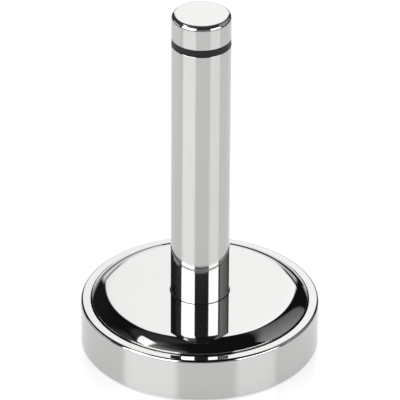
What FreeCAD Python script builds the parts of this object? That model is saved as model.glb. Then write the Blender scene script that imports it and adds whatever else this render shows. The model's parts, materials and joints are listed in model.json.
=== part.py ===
import FreeCAD, Part
import os
from math import cos, pi, radians, sin, sqrt, tan

# Free-standing paper towel holder with a turning column.
# Millimetres, +Z up. The origin is the centre of the footprint, on the table.
# Two bodies: the weighted base stays still, and the turntable turns about Z with its column.

# ---------------------------------------------------------------- driving dimensions

# pressed base shell
BASE_R = 75.0
BASE_BOTTOM = 0.8              # the shell hangs clear of the table by this much
RIM_TOP = 29.0
RIM_EDGE_RADIUS = 1.8
WELL_R = 68.6                  # inner edge of the flat rim, and the wall of the well
WELL_EDGE_RADIUS = 0.5
WELL_FLOOR_TOP = 17.0
WELL_CORNER_RADIUS = 2.5
SHEET = 1.0                    # thickness of the pressed sheets
SHEET_EDGE = 0.3               # softened cut edge of the outer wall
RIM_INSIDE_RADIUS = 0.4

# turntable plate
PLATE_TOP = 35.2
PLATE_FLAT_R = 54.5
SHOULDER_RADIUS = 20.0
SHOULDER_ANGLE = 40.0          # steepest slope of the shoulder, in degrees
SKIRT_R = WELL_R - 0.65        # running gap to the wall of the well
SKIRT_BOTTOM = 23.0
SKIRT_EDGE_RADIUS = 0.25
PLATE_HOLE_R = 18.9
PLATE_HOLE_EDGE = 0.2

# column
TUBE_R = 18.5
TUBE_WALL = 1.2
TUBE_SPIGOT_R = 18.3           # turned-down foot that sits in the carrier's socket
TUBE_BOTTOM = 23.3
TUBE_TOP = 211.4
TUBE_EDGE = 0.35
GRIP_RING_HEIGHT = 4.6
GRIP_RING_R = 18.35
GRIP_SEAT_R = 16.0
CAP_TOP = 231.8
CAP_EDGE_RADIUS = 3.0
PLUG_CLEARANCE = 0.05          # plugs inside the tube and the cap

# ballast and bottom
COVER_BOTTOM = 2.4
COVER_THICKNESS = 1.5
BALLAST_BOTTOM = COVER_BOTTOM + COVER_THICKNESS
BALLAST_TOP = WELL_FLOOR_TOP - SHEET
BALLAST_R = BASE_R - SHEET - 0.4
BALLAST_CHAMFER = 1.2
FOOT_RING_OUTER_R = 71.0
FOOT_RING_INNER_R = 59.0
FOOT_RING_EDGE = 0.8
SEAT_LIP_HEIGHT = 0.6          # lips of the cover that locate the foot ring
SEAT_LIP_WIDTH = 1.1
SEAT_CLEARANCE = 0.1

# pivot
PIVOT_R = 4.0
PIVOT_CLEARANCE = 0.05         # radial running clearance in the bushes
AXIAL_PLAY = 0.05
BUSH_R = 7.0
BUSH_FLANGE_R = 13.0
BUSH_FLANGE = 1.2
POCKET_R = 15.0                # pocket under the ballast for the pivot bolt's head
POCKET_TOP = 11.0
DRAG_WASHER_R = 11.0
DRAG_WASHER = 1.0
SPRING_HEIGHT = 1.1
SPRING_STRIP = 0.7
PIVOT_WASHER = 1.0
PIVOT_HEAD = 2.5
PIVOT_HEAD_R = 7.5
PIVOT_TOP = 35.0

# carrier under the turntable plate
CARRIER_BOTTOM = WELL_FLOOR_TOP + BUSH_FLANGE + AXIAL_PLAY
SOCKET_WALL = 3.5
CARRIER_WEB = 2.5
CARRIER_RING_INNER_R = 60.0
CARRIER_RING_R = SKIRT_R - SHEET
CARRIER_RIBS = 12
RIB_THICKNESS = 2.0
RIB_HEIGHT = 7.0
RIB_ROOT = 0.5                 # the ribs run this far into the walls that they join
HUB_CLEARANCE = 0.2
GLIDE_TOP = 19.0
GLIDE_INNER_R = 60.5
GLIDE_OUTER_R = 65.5

# plugs and rod inside the column
FOOT_PLUG_TOP = 46.0
ROD_R = 3.0
ROD_BOTTOM = 38.0
ROD_TOP = 224.0
ROD_NUT_FLATS = 10.0
ROD_NUT_HEIGHT = 5.0
HEAD_PLUG_DEPTH = 9.0
CAP_INSERT_HEIGHT = 11.0
BRASS_R = 5.0

# fasteners
COLUMN_SCREWS = 3
COLUMN_SCREW_CIRCLE_R = 11.0
COLUMN_SCREW_R = 2.0
COLUMN_SCREW_TOP = 33.0
COLUMN_SCREW_HEAD_R = 3.9
STUDS = 3
STUD_CIRCLE_R = 46.0
STUD_R = 2.5
STUD_BOTTOM = 4.7
STUD_HOLE_CLEARANCE = 0.4
STUD_POCKET_R = 7.5
STUD_POCKET_TOP = 9.4
STUD_WASHER = 1.0
STUD_WASHER_R = 5.5
STUD_NUT_HEIGHT = 3.2
STUD_NUT_FLATS = 8.0
COVER_SCREWS = 4
COVER_SCREW_CIRCLE_R = 50.0
COVER_SCREW_R = 1.5
COVER_SCREW_TOP = 11.0
COVER_SCREW_HEAD_R = 2.9
COVER_SCREW_HEAD = 1.4
COVER_SCREW_SOCKET = 3.0       # width of the cross recess
COVER_SCREW_SOCKET_DEPTH = 1.0
VENT_R = 3.0                   # hole in the middle of the base cover, over the pivot bolt

AXIS = FreeCAD.Vector(0, 0, 1)
ORIGIN = FreeCAD.Vector(0, 0, 0)


# ---------------------------------------------------------------- building blocks

def corner_arc(before, corner, after, radius):
    """Start, middle and end of the arc that rounds one corner of an outline."""
    to_before = (before - corner).normalize()
    to_after = (after - corner).normalize()
    half = to_before.getAngle(to_after) / 2
    reach = radius / tan(half)
    bisector = (to_before + to_after).normalize()
    centre = corner + bisector * (radius / sin(half))
    return corner + to_before * reach, centre - bisector * radius, corner + to_after * reach


def outline_wire(outline):
    """Closed wire in the XZ plane from (radius, height) or (radius, height, corner radius)."""
    corners = [FreeCAD.Vector(point[0], 0, point[1]) for point in outline]
    radii = [point[2] if len(point) > 2 else 0 for point in outline]
    starts, ends, edges = [], [], []
    for i, corner in enumerate(corners):
        if radii[i] > 0:
            after = corners[(i + 1) % len(corners)]
            start, middle, end = corner_arc(corners[i - 1], corner, after, radii[i])
            starts.append(start)
            ends.append(end)
            edges.append(Part.Arc(start, middle, end).toShape())
        else:
            starts.append(corner)
            ends.append(corner)
    for i, end in enumerate(ends):
        next_start = starts[(i + 1) % len(starts)]
        if end.distanceToPoint(next_start) > 1e-6:
            edges.append(Part.LineSegment(end, next_start).toShape())
    return Part.Wire(Part.sortEdges(edges)[0])


def turned(outline):
    """Solid of revolution about Z."""
    face = Part.Face(outline_wire(outline))
    return face.revolve(ORIGIN, AXIS, 360)


def ring(inner_r, outer_r, bottom, top):
    """Plain washer or sleeve."""
    return turned([(inner_r, bottom), (outer_r, bottom), (outer_r, top), (inner_r, top)])


def rod(radius, bottom, top, x=0.0, y=0.0):
    return Part.makeCylinder(radius, top - bottom, FreeCAD.Vector(x, y, bottom), AXIS)


def hexagon(flats, bottom, top, x=0.0, y=0.0):
    """Hexagonal prism, measured across its flats."""
    reach = flats / sqrt(3)
    points = [FreeCAD.Vector(x + reach * cos(i * pi / 3), y + reach * sin(i * pi / 3), bottom)
              for i in range(6)]
    face = Part.Face(Part.makePolygon(points + points[:1]))
    return face.extrude(AXIS * (top - bottom))


def hex_nut(flats, bore_r, bottom, top, x=0.0, y=0.0):
    """Nut with its two faces chamfered to the flats."""
    reach = flats / sqrt(3)
    chamfer = reach - flats / 2
    barrel = turned([(0, bottom), (reach - chamfer, bottom), (reach, bottom + chamfer / 2),
                     (reach, top - chamfer / 2), (reach - chamfer, top), (0, top)])
    barrel.translate(FreeCAD.Vector(x, y, 0))
    return hexagon(flats, bottom, top, x, y).common(barrel).cut(rod(bore_r, bottom, top, x, y))


def circle_places(count, circle_r, first_angle):
    """Centres of equally spaced holes on a circle."""
    angles = [radians(first_angle + 360.0 * i / count) for i in range(count)]
    return [(circle_r * cos(angle), circle_r * sin(angle)) for angle in angles]


STUD_PLACES = circle_places(STUDS, STUD_CIRCLE_R, 90)
COVER_SCREW_PLACES = circle_places(COVER_SCREWS, COVER_SCREW_CIRCLE_R, 45)
COLUMN_SCREW_PLACES = circle_places(COLUMN_SCREWS, COLUMN_SCREW_CIRCLE_R, 90)


# ---------------------------------------------------------------- the still base

def base_shell():
    """Pressed pan: outer wall, narrow flat rim, and the well that the turntable sits in."""
    floor_bottom = WELL_FLOOR_TOP - SHEET
    return turned([
        (BASE_R, BASE_BOTTOM, SHEET_EDGE),
        (BASE_R, RIM_TOP, RIM_EDGE_RADIUS),
        (WELL_R, RIM_TOP, WELL_EDGE_RADIUS),
        (WELL_R, WELL_FLOOR_TOP, WELL_CORNER_RADIUS),
        (BUSH_R, WELL_FLOOR_TOP),
        (BUSH_R, floor_bottom),
        (WELL_R + SHEET, floor_bottom, WELL_CORNER_RADIUS + SHEET),
        (WELL_R + SHEET, RIM_TOP - SHEET, RIM_INSIDE_RADIUS),
        (BASE_R - SHEET, RIM_TOP - SHEET, RIM_INSIDE_RADIUS),
        (BASE_R - SHEET, BASE_BOTTOM, SHEET_EDGE),
    ])


def ballast_weight():
    """Cast iron disc under the well, bored for the bushes and pocketed for the fasteners."""
    weight = turned([
        (BUSH_R, POCKET_TOP),
        (POCKET_R, POCKET_TOP, 0.8),
        (POCKET_R, BALLAST_BOTTOM, 0.6),
        (BALLAST_R, BALLAST_BOTTOM, BALLAST_CHAMFER),
        (BALLAST_R, BALLAST_TOP, BALLAST_CHAMFER),
        (BUSH_R, BALLAST_TOP),
    ])
    for x, y in STUD_PLACES:
        weight = weight.cut(rod(STUD_R + STUD_HOLE_CLEARANCE, BALLAST_BOTTOM, BALLAST_TOP, x, y))
        weight = weight.cut(rod(STUD_POCKET_R, BALLAST_BOTTOM, STUD_POCKET_TOP, x, y))
    for x, y in COVER_SCREW_PLACES:
        weight = weight.cut(rod(COVER_SCREW_R, BALLAST_BOTTOM, COVER_SCREW_TOP, x, y))
    return weight


def weld_studs():
    """Threaded studs welded to the underside of the well floor."""
    return [rod(STUD_R, STUD_BOTTOM, BALLAST_TOP, x, y) for x, y in STUD_PLACES]


def stud_washers():
    bottom = STUD_POCKET_TOP - STUD_WASHER
    washers = []
    for x, y in STUD_PLACES:
        washer = ring(STUD_R, STUD_WASHER_R, bottom, STUD_POCKET_TOP)
        washer.translate(FreeCAD.Vector(x, y, 0))
        washers.append(washer)
    return washers


def stud_nuts():
    top = STUD_POCKET_TOP - STUD_WASHER
    return [hex_nut(STUD_NUT_FLATS, STUD_R, top - STUD_NUT_HEIGHT, top, x, y) for x, y in STUD_PLACES]


def base_cover():
    """Moulded disc that closes the underside, with two lips that locate the foot ring."""
    lip = COVER_BOTTOM - SEAT_LIP_HEIGHT
    seat_inner_r = FOOT_RING_INNER_R - SEAT_CLEARANCE
    seat_outer_r = FOOT_RING_OUTER_R + SEAT_CLEARANCE
    cover = turned([
        (VENT_R, COVER_BOTTOM),
        (seat_inner_r - SEAT_LIP_WIDTH - SEAT_LIP_HEIGHT, COVER_BOTTOM),
        (seat_inner_r - SEAT_LIP_WIDTH, lip),
        (seat_inner_r, lip),
        (seat_inner_r, COVER_BOTTOM),
        (seat_outer_r, COVER_BOTTOM),
        (seat_outer_r, lip),
        (seat_outer_r + SEAT_LIP_WIDTH, lip),
        (BALLAST_R, COVER_BOTTOM),
        (BALLAST_R, BALLAST_BOTTOM),
        (VENT_R, BALLAST_BOTTOM),
    ])
    for x, y in COVER_SCREW_PLACES:
        cover = cover.cut(cover_screw_body(x, y))
    return cover


def cover_screw_body(x, y):
    """Countersunk screw without its socket, which is also the hole that it leaves."""
    screw = turned([
        (0, COVER_BOTTOM),
        (COVER_SCREW_HEAD_R, COVER_BOTTOM),
        (COVER_SCREW_R, COVER_BOTTOM + COVER_SCREW_HEAD),
        (COVER_SCREW_R, COVER_SCREW_TOP),
        (0, COVER_SCREW_TOP),
    ])
    screw.translate(FreeCAD.Vector(x, y, 0))
    return screw


def cross_socket(width, depth, bottom, x, y):
    """Cross-shaped recess for a screwdriver."""
    arm = width / 4
    long_way = Part.makeBox(width, arm, depth, FreeCAD.Vector(x - width / 2, y - arm / 2, bottom))
    short_way = Part.makeBox(arm, width, depth, FreeCAD.Vector(x - arm / 2, y - width / 2, bottom))
    return long_way.fuse(short_way)


def cover_screws():
    screws = []
    for x, y in COVER_SCREW_PLACES:
        socket = cross_socket(COVER_SCREW_SOCKET, COVER_SCREW_SOCKET_DEPTH, COVER_BOTTOM, x, y)
        screws.append(cover_screw_body(x, y).cut(socket))
    return screws


def foot_ring():
    """Rubber ring that the holder stands on."""
    return turned([
        (FOOT_RING_INNER_R, 0, FOOT_RING_EDGE),
        (FOOT_RING_OUTER_R, 0, FOOT_RING_EDGE),
        (FOOT_RING_OUTER_R, COVER_BOTTOM),
        (FOOT_RING_INNER_R, COVER_BOTTOM),
    ])


def upper_bush():
    """Flanged bush in the well floor, whose flange carries the hub of the turntable."""
    split = (POCKET_TOP + BALLAST_TOP) / 2
    bore = PIVOT_R + PIVOT_CLEARANCE
    return turned([
        (bore, split),
        (BUSH_R, split, 0.4),
        (BUSH_R, WELL_FLOOR_TOP),
        (BUSH_FLANGE_R, WELL_FLOOR_TOP),
        (BUSH_FLANGE_R, WELL_FLOOR_TOP + BUSH_FLANGE, 0.4),
        (bore, WELL_FLOOR_TOP + BUSH_FLANGE, 0.3),
    ])


def lower_bush():
    """Matching bush under the ballast, which the drag washer rubs on."""
    split = (POCKET_TOP + BALLAST_TOP) / 2 - 0.3
    bore = PIVOT_R + PIVOT_CLEARANCE
    return turned([
        (bore, POCKET_TOP - BUSH_FLANGE, 0.3),
        (BUSH_FLANGE_R, POCKET_TOP - BUSH_FLANGE, 0.4),
        (BUSH_FLANGE_R, POCKET_TOP),
        (BUSH_R, POCKET_TOP),
        (BUSH_R, split, 0.4),
        (bore, split),
    ])


def glide_ring():
    """Low-friction ring on the well floor, under the outer edge of the carrier."""
    return turned([
        (GLIDE_INNER_R, WELL_FLOOR_TOP),
        (GLIDE_OUTER_R, WELL_FLOOR_TOP),
        (GLIDE_OUTER_R, GLIDE_TOP, 0.6),
        (GLIDE_INNER_R, GLIDE_TOP, 0.6),
    ])


# ---------------------------------------------------------------- the turning parts

def plate_corners(inset):
    """Corners of the plate's skin: rim of the flat, foot of the shoulder and foot of the skirt."""
    radius = SHOULDER_RADIUS - inset
    flat_r = PLATE_FLAT_R + radius * tan(radians(SHOULDER_ANGLE / 2))
    flat_z = PLATE_TOP - inset
    skirt_r = SKIRT_R - inset
    skirt_z = flat_z - (skirt_r - flat_r) * tan(radians(SHOULDER_ANGLE))
    return (flat_r, flat_z, radius), (skirt_r, skirt_z), (skirt_r, SKIRT_BOTTOM)


def turntable_plate():
    """Pressed disc that the roll stands on, with a domed shoulder and a short skirt."""
    shoulder, skirt_top, skirt_foot = plate_corners(0)
    inner_shoulder, inner_skirt_top, inner_skirt_foot = plate_corners(SHEET)
    return turned([
        (PLATE_HOLE_R, PLATE_TOP, PLATE_HOLE_EDGE),
        shoulder,
        skirt_top + (SKIRT_EDGE_RADIUS,),
        skirt_foot,
        inner_skirt_foot,
        inner_skirt_top,
        inner_shoulder,
        (PLATE_HOLE_R, PLATE_TOP - SHEET),
    ])


def turntable_carrier():
    """Ribbed moulding that fills the plate's underside, with a socket for the column's foot."""
    shoulder, ring_top, _ = plate_corners(SHEET)
    web_top = PLATE_TOP - SHEET
    web_bottom = web_top - CARRIER_WEB
    hub_r = PIVOT_R + HUB_CLEARANCE
    socket_r = TUBE_SPIGOT_R + PLUG_CLEARANCE
    socket_outer_r = socket_r + SOCKET_WALL
    ring_bottom = GLIDE_TOP + AXIAL_PLAY
    carrier = turned([
        (hub_r, CARRIER_BOTTOM),
        (socket_outer_r, CARRIER_BOTTOM, 0.8),
        (socket_outer_r, web_bottom, 1.5),
        (CARRIER_RING_INNER_R, web_bottom, 1.5),
        (CARRIER_RING_INNER_R, ring_bottom, 0.5),
        (CARRIER_RING_R, ring_bottom, 0.5),
        ring_top,
        shoulder,
        (socket_r, web_top),
        (socket_r, TUBE_BOTTOM),
        (hub_r, TUBE_BOTTOM),
    ])
    rib_start = socket_outer_r - RIB_ROOT
    rib_length = CARRIER_RING_INNER_R + RIB_ROOT - rib_start
    rib_bottom = web_bottom - RIB_HEIGHT
    for i in range(CARRIER_RIBS):
        rib = Part.makeBox(rib_length, RIB_THICKNESS, RIB_HEIGHT + RIB_ROOT,
                           FreeCAD.Vector(rib_start, -RIB_THICKNESS / 2, rib_bottom))
        rib.rotate(ORIGIN, AXIS, 360.0 * i / CARRIER_RIBS)
        carrier = carrier.fuse(rib)
    for x, y in COLUMN_SCREW_PLACES:
        carrier = carrier.cut(column_screw_body(x, y))
    return carrier.removeSplitter()


def column_screw_body(x, y):
    """Countersunk screw without its socket, which is also the hole that it leaves."""
    bottom = CARRIER_BOTTOM
    taper = COLUMN_SCREW_HEAD_R - COLUMN_SCREW_R
    screw = turned([
        (0, bottom),
        (COLUMN_SCREW_HEAD_R, bottom),
        (COLUMN_SCREW_R, bottom + taper),
        (COLUMN_SCREW_R, COLUMN_SCREW_TOP),
        (0, COLUMN_SCREW_TOP),
    ])
    screw.translate(FreeCAD.Vector(x, y, 0))
    return screw


def column_screws():
    """Screws up through the carrier that hold the column's foot and turn it."""
    screws = []
    for x, y in COLUMN_SCREW_PLACES:
        socket = hexagon(2.5, CARRIER_BOTTOM, CARRIER_BOTTOM + 1.6, x, y)
        screws.append(column_screw_body(x, y).cut(socket))
    return screws


def foot_plug():
    """Metal plug in the foot of the tube, threaded for the pivot bolt, screws and tie rod."""
    plug = turned([
        (0, TUBE_BOTTOM),
        (TUBE_R - TUBE_WALL - PLUG_CLEARANCE, TUBE_BOTTOM, 0.6),
        (TUBE_R - TUBE_WALL - PLUG_CLEARANCE, FOOT_PLUG_TOP, 1.0),
        (0, FOOT_PLUG_TOP),
    ])
    plug = plug.cut(rod(PIVOT_R, TUBE_BOTTOM, PIVOT_TOP))
    plug = plug.cut(rod(ROD_R, ROD_BOTTOM, FOOT_PLUG_TOP))
    for x, y in COLUMN_SCREW_PLACES:
        plug = plug.cut(rod(COLUMN_SCREW_R, TUBE_BOTTOM, COLUMN_SCREW_TOP, x, y))
    return plug


def drag_stack():
    """Heights of the stack under the lower bush: drag washer, disc spring, washer, bolt head."""
    drag_top = POCKET_TOP - BUSH_FLANGE - AXIAL_PLAY
    spring_top = drag_top - DRAG_WASHER
    washer_top = spring_top - SPRING_HEIGHT
    head_top = washer_top - PIVOT_WASHER
    return drag_top, spring_top, washer_top, head_top


def drag_washer():
    """Friction washer that gives the column its drag."""
    drag_top, spring_top, _, _ = drag_stack()
    return ring(PIVOT_R, DRAG_WASHER_R, spring_top, drag_top)


def disc_spring():
    """Conical spring washer that presses the drag washer against the bush."""
    _, top, bottom, _ = drag_stack()
    return turned([
        (PIVOT_R + 0.1, bottom),
        (PIVOT_R + 0.1, bottom + SPRING_STRIP),
        (DRAG_WASHER_R - 0.5, top),
        (DRAG_WASHER_R - 0.5, top - SPRING_STRIP),
    ])


def pivot_washer():
    _, _, top, bottom = drag_stack()
    return ring(PIVOT_R, DRAG_WASHER_R - 1.0, bottom, top)


def pivot_bolt():
    """Button-headed bolt that hangs the column on the bushes and is the axle it turns on."""
    _, _, _, head_top = drag_stack()
    head_bottom = head_top - PIVOT_HEAD
    bolt = turned([
        (0, head_bottom),
        (PIVOT_HEAD_R, head_bottom, 1.2),
        (PIVOT_HEAD_R, head_top),
        (PIVOT_R, head_top),
        (PIVOT_R, PIVOT_TOP, 0.6),
        (0, PIVOT_TOP),
    ])
    return bolt.cut(hexagon(5.0, head_bottom, head_bottom + 1.6))


def column_tube():
    """Polished tube that the roll slides over."""
    inner_r = TUBE_R - TUBE_WALL
    return turned([
        (inner_r, TUBE_BOTTOM),
        (TUBE_SPIGOT_R, TUBE_BOTTOM),
        (TUBE_SPIGOT_R, PLATE_TOP),
        (TUBE_R, PLATE_TOP),
        (TUBE_R, TUBE_TOP, TUBE_EDGE),
        (inner_r, TUBE_TOP),
    ])


def tie_rod():
    """Threaded rod that pulls the cap down onto the tube."""
    return turned([
        (0, ROD_BOTTOM),
        (ROD_R, ROD_BOTTOM, 0.5),
        (ROD_R, ROD_TOP, 0.5),
        (0, ROD_TOP),
    ])


def tie_rod_nut():
    return hex_nut(ROD_NUT_FLATS, ROD_R, FOOT_PLUG_TOP, FOOT_PLUG_TOP + ROD_NUT_HEIGHT)


def head_plug():
    """Moulded plug in the head of the tube, whose neck is the seat of the rubber ring."""
    plug_r = TUBE_R - TUBE_WALL - PLUG_CLEARANCE
    return turned([
        (ROD_R + 0.2, TUBE_TOP - HEAD_PLUG_DEPTH),
        (plug_r, TUBE_TOP - HEAD_PLUG_DEPTH, 1.0),
        (plug_r, TUBE_TOP),
        (GRIP_SEAT_R, TUBE_TOP),
        (GRIP_SEAT_R, TUBE_TOP + GRIP_RING_HEIGHT),
        (ROD_R + 0.2, TUBE_TOP + GRIP_RING_HEIGHT),
    ])


def grip_ring():
    """Rubber ring between the tube and the cap, which holds the roll's core."""
    return turned([
        (GRIP_SEAT_R, TUBE_TOP),
        (GRIP_RING_R, TUBE_TOP, 0.5),
        (GRIP_RING_R, TUBE_TOP + GRIP_RING_HEIGHT, 0.5),
        (GRIP_SEAT_R, TUBE_TOP + GRIP_RING_HEIGHT),
    ])


def cap():
    """Drawn cap, the same diameter as the tube, with a rounded top edge."""
    bottom = TUBE_TOP + GRIP_RING_HEIGHT
    return turned([
        (0, CAP_TOP),
        (TUBE_R, CAP_TOP, CAP_EDGE_RADIUS),
        (TUBE_R, bottom, TUBE_EDGE),
        (TUBE_R - TUBE_WALL, bottom),
        (TUBE_R - TUBE_WALL, CAP_TOP - TUBE_WALL, CAP_EDGE_RADIUS - TUBE_WALL),
        (0, CAP_TOP - TUBE_WALL),
    ])


def cap_insert():
    """Moulded core of the cap."""
    bottom = TUBE_TOP + GRIP_RING_HEIGHT
    insert_r = TUBE_R - TUBE_WALL - PLUG_CLEARANCE
    return turned([
        (BRASS_R, bottom),
        (insert_r, bottom),
        (insert_r, bottom + CAP_INSERT_HEIGHT, 1.2),
        (0, bottom + CAP_INSERT_HEIGHT),
        (0, ROD_TOP + 0.5),
        (BRASS_R, ROD_TOP + 0.5),
    ])


def thread_insert():
    """Brass thread in the cap's core, screwed onto the tie rod."""
    return ring(ROD_R, BRASS_R, TUBE_TOP + GRIP_RING_HEIGHT, ROD_TOP + 0.5)


# ---------------------------------------------------------------- export

NODES = [
    base_shell, ballast_weight, weld_studs, stud_washers, stud_nuts, base_cover, cover_screws,
    foot_ring, upper_bush, lower_bush, glide_ring,
    turntable_plate, turntable_carrier, column_screws, foot_plug, drag_washer, disc_spring,
    pivot_washer, pivot_bolt, column_tube, tie_rod, tie_rod_nut, head_plug, grip_ring,
    cap, cap_insert, thread_insert,
]


def export(make):
    """Write one node, named after the function that makes it."""
    made = make()
    shape = Part.makeCompound(made) if isinstance(made, list) else made
    if not shape.isValid():
        raise ValueError(make.__name__ + " is not a valid shape")
    shape.exportStep("parts/" + make.__name__ + ".step")
    print(f"{make.__name__:20s} solids {len(shape.Solids)}  volume {shape.Volume:10.1f}")


os.makedirs("parts", exist_ok=True)
for node in NODES:
    export(node)
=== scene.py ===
import json
from math import cos, pi, radians, sin, tan

import bmesh
import bpy
from mathutils import Matrix, Vector

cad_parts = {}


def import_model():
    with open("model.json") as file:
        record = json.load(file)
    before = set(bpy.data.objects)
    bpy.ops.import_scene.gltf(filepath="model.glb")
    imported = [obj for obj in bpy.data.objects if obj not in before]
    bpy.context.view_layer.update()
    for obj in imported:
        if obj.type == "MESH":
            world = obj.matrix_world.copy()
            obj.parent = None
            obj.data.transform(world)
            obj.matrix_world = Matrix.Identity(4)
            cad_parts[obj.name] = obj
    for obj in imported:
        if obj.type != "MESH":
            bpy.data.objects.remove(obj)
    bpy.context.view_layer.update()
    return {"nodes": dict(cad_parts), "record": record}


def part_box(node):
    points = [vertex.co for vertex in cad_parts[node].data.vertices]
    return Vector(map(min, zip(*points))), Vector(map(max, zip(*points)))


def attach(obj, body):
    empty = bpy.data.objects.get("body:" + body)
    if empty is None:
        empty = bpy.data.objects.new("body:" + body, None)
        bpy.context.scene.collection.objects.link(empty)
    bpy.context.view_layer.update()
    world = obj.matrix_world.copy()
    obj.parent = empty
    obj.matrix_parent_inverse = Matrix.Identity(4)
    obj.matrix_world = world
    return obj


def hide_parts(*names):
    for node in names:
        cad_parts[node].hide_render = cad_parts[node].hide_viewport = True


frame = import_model()
nodes = frame["nodes"]

# Paper towel holder: polished steel base, turntable and column. Metres, Z up.

MM = 0.001
SEGMENTS = 256                 # steps round a turned piece
ARC_STEP = radians(5)          # longest steps along a rounded corner
ARC_LENGTH = 0.35 * MM
SUPPORT = 0.12 * MM            # edge loop that keeps a flat face flat up to its rounded edge
SHARP_ANGLE = radians(28)      # corners turning by more than this stay sharp
ON_AXIS = 1e-7                 # points closer to the axis than this become one vertex


# ---------------------------------------------------------------- turned pieces

def rounded(outline):
    """Points of a closed outline of (radius, height, corner radius), with its corners rounded.
    Each comes with the number of the corner that it rounds, or None on a sharp corner."""
    corners = [Vector((c[0], c[1])) for c in outline]
    points = []
    for i, corner in enumerate(corners):
        radius = outline[i][2] if len(outline[i]) > 2 else 0
        if radius <= 0:
            points.append((corner, None))
            continue
        to_before = (corners[i - 1] - corner).normalized()
        to_after = (corners[(i + 1) % len(corners)] - corner).normalized()
        half = to_before.angle(to_after) / 2
        centre = corner + (to_before + to_after).normalized() * (radius / sin(half))
        start = corner + to_before * (radius / tan(half)) - centre
        end = corner + to_after * (radius / tan(half)) - centre
        turn = start.angle_signed(end)
        steps = max(4, round(abs(turn) / ARC_STEP), round(abs(turn) * radius / ARC_LENGTH))
        for k in range(steps + 1):
            points.append((centre + Matrix.Rotation(-turn * k / steps, 2) @ start, i))
    return points


def with_supports(points):
    """Adds a point close to each end of the straight stretches, so that they stay flat."""
    result = []
    for i, (point, corner) in enumerate(points):
        after, next_corner = points[(i + 1) % len(points)]
        step = after - point
        result.append(point)
        long_enough = step.length > 6 * SUPPORT
        if (corner is None or corner != next_corner) and long_enough:
            result.append(point + step.normalized() * SUPPORT)
            result.append(after - step.normalized() * SUPPORT)
    return result


def lathe(name, outline, body, material, slot, *replaced):
    """Turned solid that rides on a body and stands for CAD nodes."""
    points = with_supports(rounded(outline))
    mesh = bpy.data.meshes.new(name)
    bm = bmesh.new()
    rings = []
    for point in points:
        if point.x < ON_AXIS:
            rings.append([bm.verts.new((0, 0, point.y))])
        else:
            rings.append([bm.verts.new((point.x * cos(2 * pi * k / SEGMENTS),
                                        point.x * sin(2 * pi * k / SEGMENTS), point.y))
                          for k in range(SEGMENTS)])
    for i, ring in enumerate(rings):
        following = rings[(i + 1) % len(rings)]
        if len(ring) == 1 and len(following) == 1:
            continue
        for k in range(SEGMENTS):
            j = (k + 1) % SEGMENTS
            if len(ring) == 1:
                bm.faces.new((ring[0], following[j], following[k]))
            elif len(following) == 1:
                bm.faces.new((ring[k], ring[j], following[0]))
            else:
                bm.faces.new((ring[k], ring[j], following[j], following[k]))
    bmesh.ops.recalc_face_normals(bm, faces=bm.faces)
    bm.to_mesh(mesh)
    bm.free()
    mesh.shade_smooth()
    mesh.set_sharp_from_angle(angle=SHARP_ANGLE)
    mesh.materials.append(material)
    piece = bpy.data.objects.new(name, mesh)
    bpy.context.scene.collection.objects.link(piece)
    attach(piece, body)
    if replaced:
        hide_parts(*replaced)
    return piece


# ---------------------------------------------------------------- materials

class Nodes:
    """Small helper that adds nodes to a material and links them."""

    def __init__(self, name):
        self.material = bpy.data.materials.new(name)
        self.material.use_nodes = True
        self.tree = self.material.node_tree
        self.shader = self.tree.nodes["Principled BSDF"]

    def add(self, kind, **values):
        node = self.tree.nodes.new(kind)
        for key, value in values.items():
            if key.startswith("in_"):
                node.inputs[key[3:].replace("_", " ")].default_value = value
            else:
                setattr(node, key, value)
        return node

    def link(self, source, target):
        self.tree.links.new(source, target)

    def set(self, **values):
        for key, value in values.items():
            self.shader.inputs[key.replace("_", " ")].default_value = value

    def place(self, scale):
        """Object coordinates stretched by scale."""
        coordinates = self.add("ShaderNodeTexCoord")
        mapping = self.add("ShaderNodeMapping", in_Scale=scale)
        self.link(coordinates.outputs["Object"], mapping.inputs["Vector"])
        return mapping.outputs["Vector"]

    def noise(self, scale, detail=2.0, stretch=(1, 1, 1), roughness=0.5):
        texture = self.add("ShaderNodeTexNoise", in_Scale=scale, in_Detail=detail, in_Roughness=roughness)
        self.link(self.place(stretch), texture.inputs["Vector"])
        return texture.outputs["Fac"]

    def remap(self, value, low, high, to_low, to_high):
        node = self.add("ShaderNodeMapRange", in_From_Min=low, in_From_Max=high,
                        in_To_Min=to_low, in_To_Max=to_high)
        self.link(value, node.inputs["Value"])
        return node.outputs["Result"]

    def math(self, operation, a, b):
        node = self.add("ShaderNodeMath", operation=operation)
        for socket, value in zip(node.inputs, (a, b)):
            if isinstance(value, (int, float)):
                socket.default_value = value
            else:
                self.link(value, socket)
        return node.outputs["Value"]

    def tint(self, value, dark, light):
        """Colour between two colours."""
        mix = self.add("ShaderNodeMix", data_type="RGBA")
        mix.inputs["A"].default_value = (*dark, 1)
        mix.inputs["B"].default_value = (*light, 1)
        self.link(value, mix.inputs["Factor"])
        self.link(mix.outputs["Result"], self.shader.inputs["Base Color"])

    def rough(self, value, middle, below=0.06):
        """Roughness that follows a texture from a little below its middle value to above it."""
        spread = self.remap(value, 0.3, 0.7, middle - below, middle + 0.1)
        self.link(spread, self.shader.inputs["Roughness"])

    def bump(self, height, distance, strength):
        node = self.add("ShaderNodeBump", in_Strength=strength, in_Distance=distance)
        self.link(height, node.inputs["Height"])
        self.link(node.outputs["Normal"], self.shader.inputs["Normal"])


STEEL_DARK = (0.480, 0.475, 0.468)
STEEL_LIGHT = (0.520, 0.514, 0.507)


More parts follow.
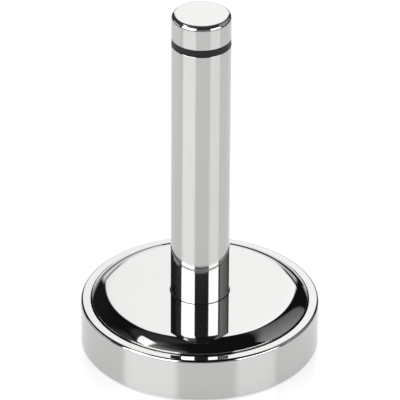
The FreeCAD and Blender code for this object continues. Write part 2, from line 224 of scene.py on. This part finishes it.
def polished_steel(name, lines, roughness=0.02, haze=0.0):
    """Mirror-polished stainless steel. lines is the stretch of the polishing lines; haze is the
    share of light that handling marks scatter."""
    m = Nodes(name)
    m.set(Metallic=1.0 - haze)
    wide = m.noise(14.0, 3.0)
    streaks = m.noise(260.0, 3.0, (1, 1, 0.02))
    fine = m.noise(900.0, 2.0, lines)
    shade = m.math("MULTIPLY", m.math("ADD", wide, streaks), 0.5)
    m.tint(shade, STEEL_DARK, STEEL_LIGHT)
    smear = m.remap(wide, 0.45, 0.75, 0.0, 0.02)
    grain = m.remap(fine, 0.35, 0.75, roughness - 0.008, roughness + 0.01)
    m.link(m.math("ADD", smear, grain), m.shader.inputs["Roughness"])
    return m.material


PLASTIC_GRAIN = 0.04 * MM


def black_rubber(name, roughness):
    m = Nodes(name)
    m.set(Specular_IOR_Level=0.25)
    speckle = m.noise(1400.0, 3.0)
    m.tint(speckle, (0.006, 0.006, 0.006), (0.014, 0.014, 0.014))
    m.rough(speckle, roughness)
    m.bump(speckle, 0.02 * MM, 0.4)
    return m.material


def moulded_plastic(name, dark, light, roughness=0.5):
    m = Nodes(name)
    texture = m.noise(900.0, 4.0)
    m.tint(texture, dark, light)
    m.rough(texture, roughness)
    m.bump(texture, PLASTIC_GRAIN, 0.5)
    return m.material


def machined_metal(name, dark, light, roughness):
    m = Nodes(name)
    m.set(Metallic=1.0)
    wear = m.noise(120.0, 4.0)
    turning = m.noise(1800.0, 2.0)
    m.tint(wear, dark, light)
    m.rough(turning, roughness, 0.08)
    m.bump(turning, 0.01 * MM, 0.4)
    return m.material


MATERIALS = {
    "shell_steel": polished_steel("polished_shell", (1, 1, 8)),
    "plate_steel": polished_steel("polished_plate", (1, 1, 8)),
    "tube_steel": polished_steel("polished_tube", (1, 1, 12), 0.075, 0.025),
    "cap_steel": polished_steel("polished_cap", (1, 1, 12), 0.04, 0.045),
    "grip_rubber": black_rubber("grip_rubber", 0.45),
    "foot_rubber": black_rubber("foot_rubber", 0.6),
    "cover_plastic": moulded_plastic("cover_plastic", (0.012, 0.012, 0.013), (0.03, 0.03, 0.032)),
    "ballast_iron": machined_metal("cast_iron", (0.05, 0.05, 0.052), (0.12, 0.12, 0.12), 0.6),
    "fastener_steel": machined_metal("zinc_plate", (0.45, 0.46, 0.48), (0.62, 0.62, 0.60), 0.3),
    "spring_steel": machined_metal("blued_steel", (0.06, 0.07, 0.10), (0.14, 0.13, 0.14), 0.35),
    "bush_plastic": moulded_plastic("acetal", (0.70, 0.69, 0.63), (0.82, 0.81, 0.76), 0.35),
    "drag_fibre": moulded_plastic("pressed_fibre", (0.20, 0.05, 0.03), (0.36, 0.11, 0.07), 0.7),
    "carrier_plastic": moulded_plastic("filled_nylon", (0.010, 0.010, 0.011), (0.025, 0.025, 0.027), 0.55),
    "plug_plastic": moulded_plastic("grey_nylon", (0.03, 0.03, 0.032), (0.06, 0.06, 0.062), 0.5),
    "plug_metal": machined_metal("turned_aluminium", (0.62, 0.62, 0.64), (0.75, 0.75, 0.76), 0.3),
    "brass": machined_metal("turned_brass", (0.62, 0.44, 0.18), (0.78, 0.60, 0.28), 0.25),
}


def finish_cad_nodes():
    """Gives every carried-over CAD node the material of its record slot."""
    slots = {part["node"]: part["material_slot"] for part in frame["record"]["subparts"]}
    for name, node in nodes.items():
        node.data.materials.clear()
        node.data.materials.append(MATERIALS[slots[name]])


# ---------------------------------------------------------------- pieces

def radius_of(node):
    return max(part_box(node)[1].x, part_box(node)[1].y)


SHEET = 1.0 * MM
TUBE_WALL = 1.2 * MM
BUSH_R = 7.0 * MM              # barrel of the upper bush, which the well floor is bored for
RUNNING_GAP = 0.65 * MM        # between the turntable's skirt and the wall of the well
BASE_R = radius_of("base_shell")
SKIRT_R = radius_of("turntable_plate")
TUBE_R = radius_of("column_tube")
WELL_R = SKIRT_R + RUNNING_GAP

SHEET_EDGE = 0.3 * MM          # cut edge at the foot of the wall
RIM_EDGE_RADIUS = 1.8 * MM
RIM_INSIDE_RADIUS = 0.4 * MM
WELL_EDGE_RADIUS = 0.5 * MM
WELL_CORNER_RADIUS = 2.5 * MM
PLATE_FLAT_R = 54.5 * MM
SHOULDER_RADIUS = 20.0 * MM
SHOULDER_SLOPE = radians(40)   # steepest slope of the shoulder
SKIRT_EDGE_RADIUS = 0.25 * MM
PLATE_HOLE_GAP = 0.4 * MM      # round the tube, where it goes through the plate
PLATE_HOLE_EDGE = 0.2 * MM
SPIGOT_STEP = 0.2 * MM         # the tube's foot is turned down by this much
TUBE_EDGE = 0.35 * MM
GRIP_SEAT_R = 16.0 * MM
GRIP_EDGE_RADIUS = 0.5 * MM
CAP_EDGE_RADIUS = 3.0 * MM


def base_shell():
    """Outer wall, narrow flat rim, and the well that the turntable sits in."""
    low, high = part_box("base_shell")
    bottom, rim = low.z, high.z
    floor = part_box("glide_ring")[0].z
    lathe("base_shell_polished", [
        (BASE_R, bottom, SHEET_EDGE),
        (BASE_R, rim, RIM_EDGE_RADIUS),
        (WELL_R, rim, WELL_EDGE_RADIUS),
        (WELL_R, floor, WELL_CORNER_RADIUS),
        (BUSH_R, floor),
        (BUSH_R, floor - SHEET),
        (WELL_R + SHEET, floor - SHEET, WELL_CORNER_RADIUS + SHEET),
        (WELL_R + SHEET, rim - SHEET, RIM_INSIDE_RADIUS),
        (BASE_R - SHEET, rim - SHEET, RIM_INSIDE_RADIUS),
        (BASE_R - SHEET, bottom, SHEET_EDGE),
    ], "base", MATERIALS["shell_steel"], "shell_steel", "base_shell")


def turntable_plate():
    """Flat disc, domed shoulder and a short skirt that runs inside the rim."""
    low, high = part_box("turntable_plate")

    def corners(inset):
        """Shoulder, top of the skirt and foot of the skirt, this far under the outer face."""
        dome = SHOULDER_RADIUS - inset
        shoulder_r = PLATE_FLAT_R + dome * tan(SHOULDER_SLOPE / 2)
        skirt_r = SKIRT_R - inset
        skirt_z = high.z - inset - (skirt_r - shoulder_r) * tan(SHOULDER_SLOPE)
        return (shoulder_r, high.z - inset, dome), (skirt_r, skirt_z), (skirt_r, low.z)

    outer, inner = corners(0), corners(SHEET)
    hole_r = TUBE_R + PLATE_HOLE_GAP
    lathe("turntable_plate_polished", [
        (hole_r, high.z, PLATE_HOLE_EDGE),
        outer[0], outer[1] + (SKIRT_EDGE_RADIUS,), outer[2],
        inner[2], inner[1], inner[0],
        (hole_r, high.z - SHEET),
    ], "column", MATERIALS["plate_steel"], "plate_steel", "turntable_plate")


def column_tube():
    """Tube with a turned-down foot that goes through the plate."""
    low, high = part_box("column_tube")
    plate_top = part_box("turntable_plate")[1].z
    spigot_r = TUBE_R - SPIGOT_STEP
    lathe("column_tube_polished", [
        (TUBE_R - TUBE_WALL, low.z),
        (spigot_r, low.z),
        (spigot_r, plate_top),
        (TUBE_R, plate_top),
        (TUBE_R, high.z, TUBE_EDGE),
        (TUBE_R - TUBE_WALL, high.z),
    ], "column", MATERIALS["tube_steel"], "tube_steel", "column_tube")


def grip_ring():
    low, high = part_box("grip_ring")
    lathe("grip_ring_rubber", [
        (GRIP_SEAT_R, low.z),
        (high.x, low.z, GRIP_EDGE_RADIUS),
        (high.x, high.z, GRIP_EDGE_RADIUS),
        (GRIP_SEAT_R, high.z),
    ], "column", MATERIALS["grip_rubber"], "grip_rubber", "grip_ring")


def cap():
    """Drawn cap, the same diameter as the tube, with a rounded top edge."""
    low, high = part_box("cap")
    lathe("cap_polished", [
        (0, high.z),
        (TUBE_R, high.z, CAP_EDGE_RADIUS),
        (TUBE_R, low.z, TUBE_EDGE),
        (TUBE_R - TUBE_WALL, low.z),
        (TUBE_R - TUBE_WALL, high.z - TUBE_WALL, CAP_EDGE_RADIUS - TUBE_WALL),
        (0, high.z - TUBE_WALL),
    ], "column", MATERIALS["cap_steel"], "cap_steel", "cap")


finish_cad_nodes()
base_shell()
turntable_plate()
column_tube()
grip_ring()
cap()


# ---------------------------------------------------------------- studio

PANEL_STEPS = 16               # squares along each side of a light panel
PANEL_DISTANCE = 1.2           # from the holder to most of the panels
PANEL_CENTRE_Z = 0.03          # height that the panels' directions are seen from
SHEET_SIDE = 1.8               # square white sheet that the holder stands on
FAR_FLOOR_SIDE = 14.0
FAR_FLOOR_DROP = 0.5 * MM      # keeps it out of the sheet
FLOOR_GLOW = 0.69
FLOOR_WHITE = (0.252, 0.256)   # what the floor reflects of the light from above
BACKDROP_R = 8.0
BACKDROP_WHITE = 0.95
ROOM_GREY = 0.010              # what the steel sees between the panels


def direction(azimuth, elevation):
    """Unit vector. Azimuth 0 is towards the camera and 90 is +X; both are in degrees."""
    a, e = radians(azimuth), radians(elevation)
    return Vector((sin(a) * cos(e), -cos(a) * cos(e), sin(e)))


def between(corners, u, v):
    """Value between four corners: u runs along the bottom and v upwards."""
    bottom_left, bottom_right, top_right, top_left = corners
    bottom = bottom_left * (1 - u) + bottom_right * u
    top = top_left * (1 - u) + top_right * u
    return bottom * (1 - v) + top * v


def fade(position, start, end):
    """1 in the middle of a panel, falling to 0 over these parts of its two ends."""
    value = 1.0
    if start:
        value = min(value, position / start)
    if end:
        value = min(value, (1 - position) / end)
    return value * value * (3 - 2 * value)


def glow_material():
    """Light whose strength and cover are stored in the panel's corners."""
    material = bpy.data.materials.new("panel_glow")
    material.use_nodes = True
    tree = material.node_tree
    tree.nodes.clear()
    radiance = tree.nodes.new("ShaderNodeAttribute")
    radiance.attribute_name = "radiance"
    cover = tree.nodes.new("ShaderNodeAttribute")
    cover.attribute_name = "cover"
    clear = tree.nodes.new("ShaderNodeBsdfTransparent")
    glow = tree.nodes.new("ShaderNodeEmission")
    mix = tree.nodes.new("ShaderNodeMixShader")
    output = tree.nodes.new("ShaderNodeOutputMaterial")
    tree.links.new(radiance.outputs["Fac"], glow.inputs["Strength"])
    tree.links.new(cover.outputs["Fac"], mix.inputs["Fac"])
    tree.links.new(clear.outputs["BSDF"], mix.inputs[1])
    tree.links.new(glow.outputs["Emission"], mix.inputs[2])
    tree.links.new(mix.outputs["Shader"], output.inputs["Surface"])
    return material


def panel(name, places, radiances, material, sides=(0, 0), ends=(0, 0), distance=PANEL_DISTANCE,
          curved=False):
    """Light panel between four directions (azimuth, elevation), seen in reflections only.
    The corners and their radiances go round from the bottom left. sides and ends are the parts
    of the width and of the height that fade out. A curved panel stays at the same distance all
    over; a plain one is flat."""
    target = Vector((0, 0, PANEL_CENTRE_Z))
    corners = [Vector(place) if curved else target + direction(*place) * distance for place in places]
    if isinstance(radiances, (int, float)):
        radiances = (radiances,) * 4
    mesh = bpy.data.meshes.new(name)
    bm = bmesh.new()
    radiance_layer = bm.verts.layers.float.new("radiance")
    cover_layer = bm.verts.layers.float.new("cover")
    grid = []
    for j in range(PANEL_STEPS + 1):
        row = []
        for i in range(PANEL_STEPS + 1):
            u, v = i / PANEL_STEPS, j / PANEL_STEPS
            place = between(corners, u, v)
            vert = bm.verts.new(target + direction(*place) * distance if curved else place)
            vert[radiance_layer] = between(radiances, u, v)
            vert[cover_layer] = fade(u, *sides) * fade(v, *ends)
            row.append(vert)
        grid.append(row)
    for j in range(PANEL_STEPS):
        for i in range(PANEL_STEPS):
            bm.faces.new((grid[j][i], grid[j][i + 1], grid[j + 1][i + 1], grid[j + 1][i]))
    bm.to_mesh(mesh)
    bm.free()
    mesh.materials.append(material)
    piece = bpy.data.objects.new(name, mesh)
    piece.visible_camera = False
    piece.visible_diffuse = False
    piece.visible_shadow = False
    bpy.context.scene.collection.objects.link(piece)


def box(left, right, low, high):
    """Corners of a panel with upright sides."""
    return (left, low), (right, low), (right, high), (left, high)


def back_panels(glow):
    """Behind the holder: what the disc, the rim and the foot of the tube reflect."""
    panel("back_panel", ((201.5, 18.5), (155, 19), (162.5, 50.2), (198, 51.5)),
          (1.52, 1.8, 1.95, 1.68), glow, sides=(0.04, 0.045), ends=(0.08, 0.06))
    panel("back_low_panel", box(192, 166, 8, 22), (1.2, 1.2, 1.6, 1.7), glow,
          sides=(0.1, 0.1), ends=(0.3, 0))
    panel("back_low_left_panel", box(204, 185, 0, 21), (0.9, 0.9, 1.3, 1.3), glow,
          sides=(0.15, 0), ends=(0.45, 0.4))
    panel("back_low_right_panel", box(171, 156, 6, 18), 0.8, glow, sides=(0.2, 0.2), ends=(0.3, 0.3))
    panel("side_low_right_panel", box(154, 136, -4, 6), 0.6, glow, sides=(0.1, 0.3), ends=(0, 0.5))
    panel("side_low_left_panel", box(-110, -162, -4, 9), 0.5, glow, sides=(0.3, 0.2), ends=(0, 0.6))


def left_panels(glow):
    """The bright window on the left, and the fainter light round it."""
    panel("left_panel", ((-73, 11), (-19.5, 11), (-19, 50), (-80, 43.5)), 6.0, glow,
          sides=(0.05, 0.03), ends=(0.05, 0.12))
    panel("left_high_panel", ((-84, 49), (-65, 50), (-80, 67), (-124, 60.5)), 2.3, glow,
          sides=(0.14, 0.3), ends=(0.12, 0.1))
    panel("left_top_glow_panel", box(-82, -15, 50, 71), (0.5, 0.5, 0.06, 0.06), glow,
          sides=(0.15, 0.2), ends=(0, 0.3), distance=1.4, curved=True)
    panel("left_halo_panel", box(-114, -72, 58, 77), 0.22, glow,
          sides=(0.5, 0.4), ends=(0.3, 0.6), distance=1.5, curved=True)
    panel("left_haze_panel", box(-172, -25, 52, 82), (0.05, 0.05, 0.06, 0.06), glow,
          sides=(0.05, 0.2), ends=(0.15, 0.35), distance=1.7, curved=True)
    panel("left_side_haze_panel", box(-120, -72, 2, 52), (0.01, 0.12, 0.12, 0.01), glow,
          sides=(0.3, 0), ends=(0.1, 0.1), distance=1.6, curved=True)
    panel("left_back_haze_panel", box(-170, -110, 8, 42), 0.017, glow,
          sides=(0.1, 0.4), ends=(0.1, 0.3), distance=1.8, curved=True)


def right_panels(glow):
    """The window on the right, and the grey wall behind it."""
    panel("right_panel", ((33.5, 11), (77.5, 11), (77.5, 36), (33.5, 40)), 4.4, glow,
          sides=(0.06, 0.03), ends=(0.05, 0.15))
    panel("right_gap_panel", box(72, 92, 14, 44), 0.08, glow,
          sides=(0.1, 0.1), ends=(0.1, 0.1), distance=1.5, curved=True)
    panel("right_grey_panel", ((83, 11), (133, 11), (166, 54), (84, 57)), (0.75, 0.2, 0.17, 0.35), glow,
          sides=(0.03, 0.02), ends=(0.1, 0.12), distance=1.3)


def front_and_side_panels(glow):
    """Faint light round the camera, and two low panels that whiten the disc seen from behind and beside."""
    panel("front_haze_panel", box(-20, 35, 6, 52), (0.065, 0.065, 0.015, 0.015), glow,
          sides=(0.1, 0.1), ends=(0, 0.3), distance=1.4, curved=True)
    panel("front_low_panel", box(-24, 34, 8, 20), 1.0, glow,
          sides=(0.1, 0.1), ends=(0.3, 0.4), distance=1.3)
    panel("side_low_panel", box(-124, -85, 8, 23), 1.3, glow,
          sides=(0.1, 0.1), ends=(0.2, 0.2), distance=1.3)


def studio():
    glow = glow_material()
    back_panels(glow)
    left_panels(glow)
    right_panels(glow)
    front_and_side_panels(glow)
    ceiling()


def ceiling():
    """Large soft light that whitens the floor."""
    size, height, radiance = 5.0, 3.0, 2.85
    data = bpy.data.lights.new("ceiling", "AREA")
    data.shape = "SQUARE"
    data.size = size
    data.energy = radiance * size * size * pi
    light = bpy.data.objects.new("ceiling", data)
    light.location = (0, 0, height)
    light.visible_camera = False
    light.visible_glossy = False
    bpy.context.scene.collection.objects.link(light)


def floor_material():
    """White that glows as well as being lit, which keeps the shadow under the base light."""
    m = Nodes("floor_white")
    m.set(Roughness=0.22, IOR=1.5, Emission_Color=(1, 1, 1, 1), Emission_Strength=FLOOR_GLOW)
    dark, light = FLOOR_WHITE
    m.tint(m.noise(3.0, 2.0), (dark,) * 3, (light,) * 3)
    return m.material


def floor_part(name, corners, height, material):
    mesh = bpy.data.meshes.new(name)
    mesh.from_pydata([(x, y, height) for x, y in corners], [], [range(len(corners))])
    mesh.materials.append(material)
    part = bpy.data.objects.new(name, mesh)
    bpy.context.scene.collection.objects.link(part)
    return part


def square(side):
    reach = side / 2
    return (-reach, -reach), (reach, -reach), (reach, reach), (-reach, reach)


def floors():
    """The white sheet, and a wider floor that the steel doesn't see."""
    white = floor_material()
    floor_part("floor", square(SHEET_SIDE), 0, white)
    far_floor = floor_part("far_floor", square(FAR_FLOOR_SIDE), -FAR_FLOOR_DROP, white)
    far_floor.visible_glossy = False


def backdrop():
    """White all round, which only the camera sees."""
    bm = bmesh.new()
    bmesh.ops.create_uvsphere(bm, u_segments=64, v_segments=32, radius=BACKDROP_R)
    mesh = bpy.data.meshes.new("backdrop")
    bm.to_mesh(mesh)
    bm.free()
    sphere = bpy.data.objects.new("backdrop", mesh)
    white = (BACKDROP_WHITE, BACKDROP_WHITE, BACKDROP_WHITE, 1)
    m = Nodes("backdrop_white")
    m.set(Base_Color=(0, 0, 0, 1), Roughness=1.0, Emission_Color=white, Emission_Strength=1.0)
    mesh.materials.append(m.material)
    sphere.visible_glossy = False
    sphere.visible_diffuse = False
    sphere.visible_shadow = False
    bpy.context.scene.collection.objects.link(sphere)


def world():
    scene_world = bpy.data.worlds.new("studio_dark")
    scene_world.use_nodes = True
    background = scene_world.node_tree.nodes["Background"]
    background.inputs["Color"].default_value = (ROOM_GREY, ROOM_GREY, ROOM_GREY, 1)
    bpy.context.scene.world = scene_world


CAMERA_PLACE = (-0.003, -32.19, 20.40)   # in base radii
CAMERA_DOWN = 30.634           # degrees below the horizontal
CAMERA_ROLL = 0.35
CAMERA_LENS = 406.0
SENSOR = 36.0


def camera():
    """Long lens, looking down on the holder from in front."""
    data = bpy.data.cameras.new("camera")
    data.sensor_width = SENSOR
    data.lens = CAMERA_LENS
    view = bpy.data.objects.new("camera", data)
    view.location = [value * BASE_R for value in CAMERA_PLACE]
    tilt = Matrix.Rotation(radians(90 - CAMERA_DOWN), 3, "X")
    roll = Matrix.Rotation(radians(CAMERA_ROLL), 3, "Z")
    view.rotation_euler = (tilt @ roll).to_euler()
    bpy.context.scene.collection.objects.link(view)
    bpy.context.scene.camera = view


studio()
floors()
backdrop()
world()
camera()
bpy.context.scene.view_settings.view_transform = "Standard"
